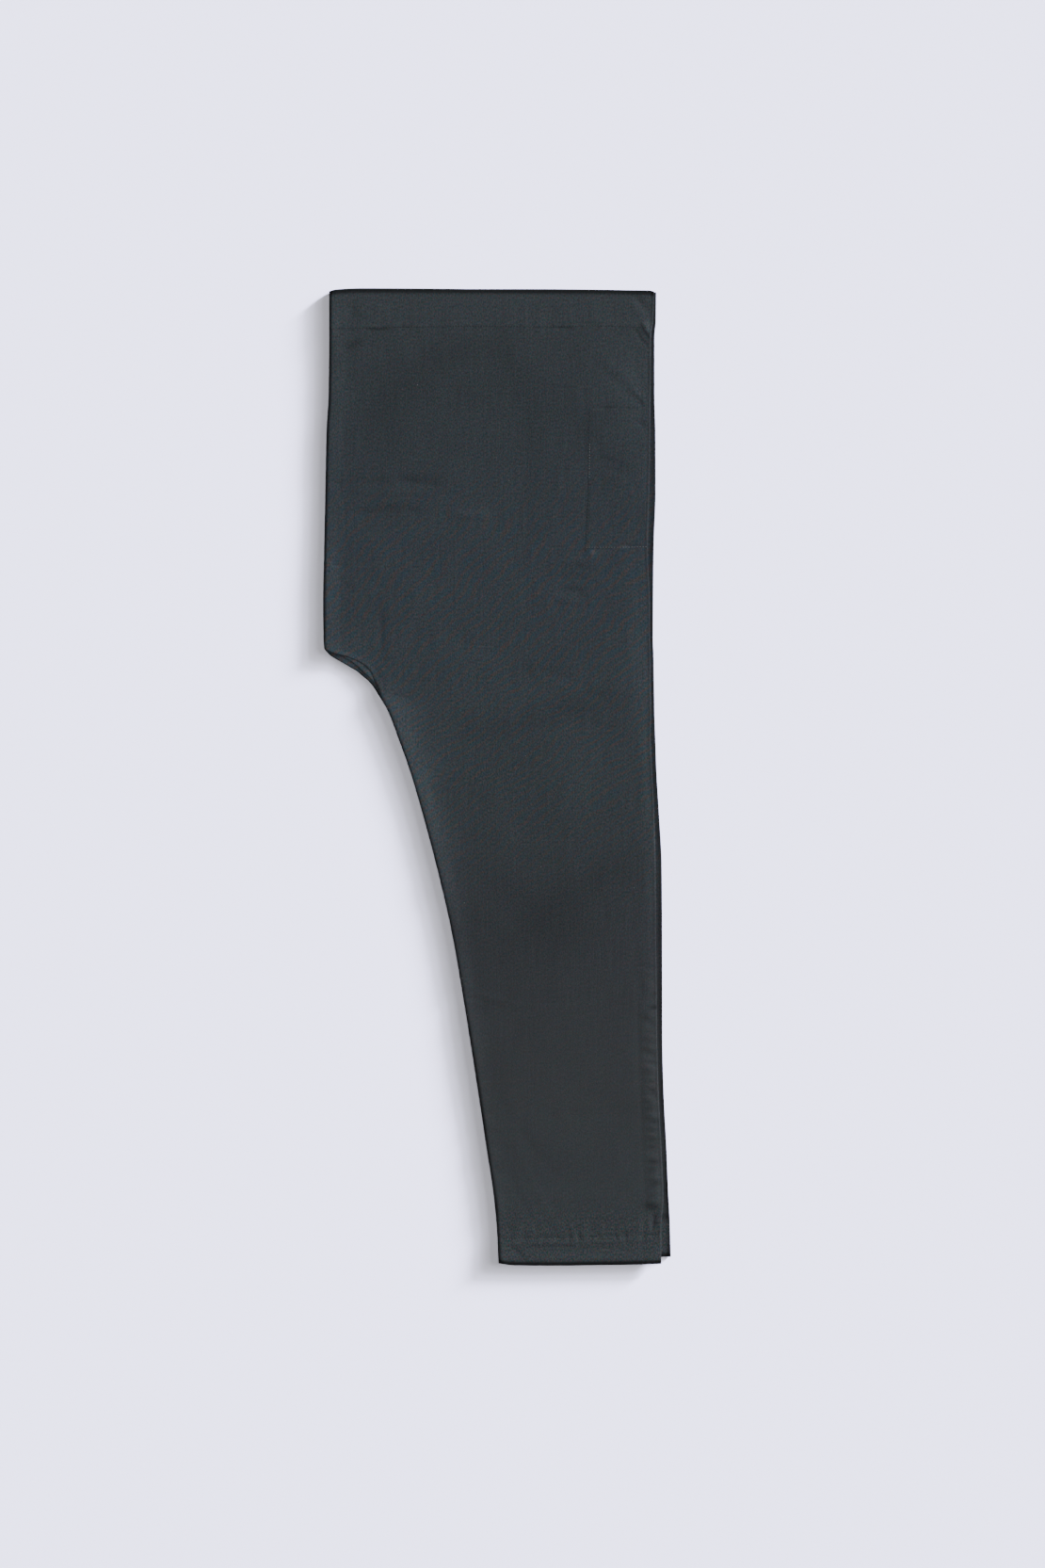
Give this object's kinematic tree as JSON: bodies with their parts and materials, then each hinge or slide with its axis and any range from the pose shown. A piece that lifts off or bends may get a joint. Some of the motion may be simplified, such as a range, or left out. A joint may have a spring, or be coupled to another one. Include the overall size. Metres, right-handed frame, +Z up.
{
  "type": "folded pull-on trousers",
  "caption": "Plain woven pull-on trousers, folded once down the middle and laid flat one leg on the other, with a stitched waist casing, a side pocket bag and narrow hems.",
  "frame": {"origin": "on the surface, under the middle of the folded garment", "axes": "+X from the folded centre to the side seams, +Y from the feet to the waist, +Z up"},
  "size_m": [0.3619, 1.021, 0.0093],
  "materials": {
    "panel_cloth": "matt woven cotton, dark slate",
    "casing_cloth": "the same cotton turned in twice and stitched",
    "hem_cloth": "the same cotton turned up and stitched",
    "pocket_cloth": "the same cotton, under the front panel"
  },
  "bodies": {
    "root": {"left_front": "panel_cloth", "left_front_casing": "casing_cloth", "left_front_hem": "hem_cloth", "left_pocket_bag": "pocket_cloth", "folded_backs": "panel_cloth", "right_front": "panel_cloth", "right_front_casing": "casing_cloth", "right_front_hem": "hem_cloth"}
  },
  "joints": []
}
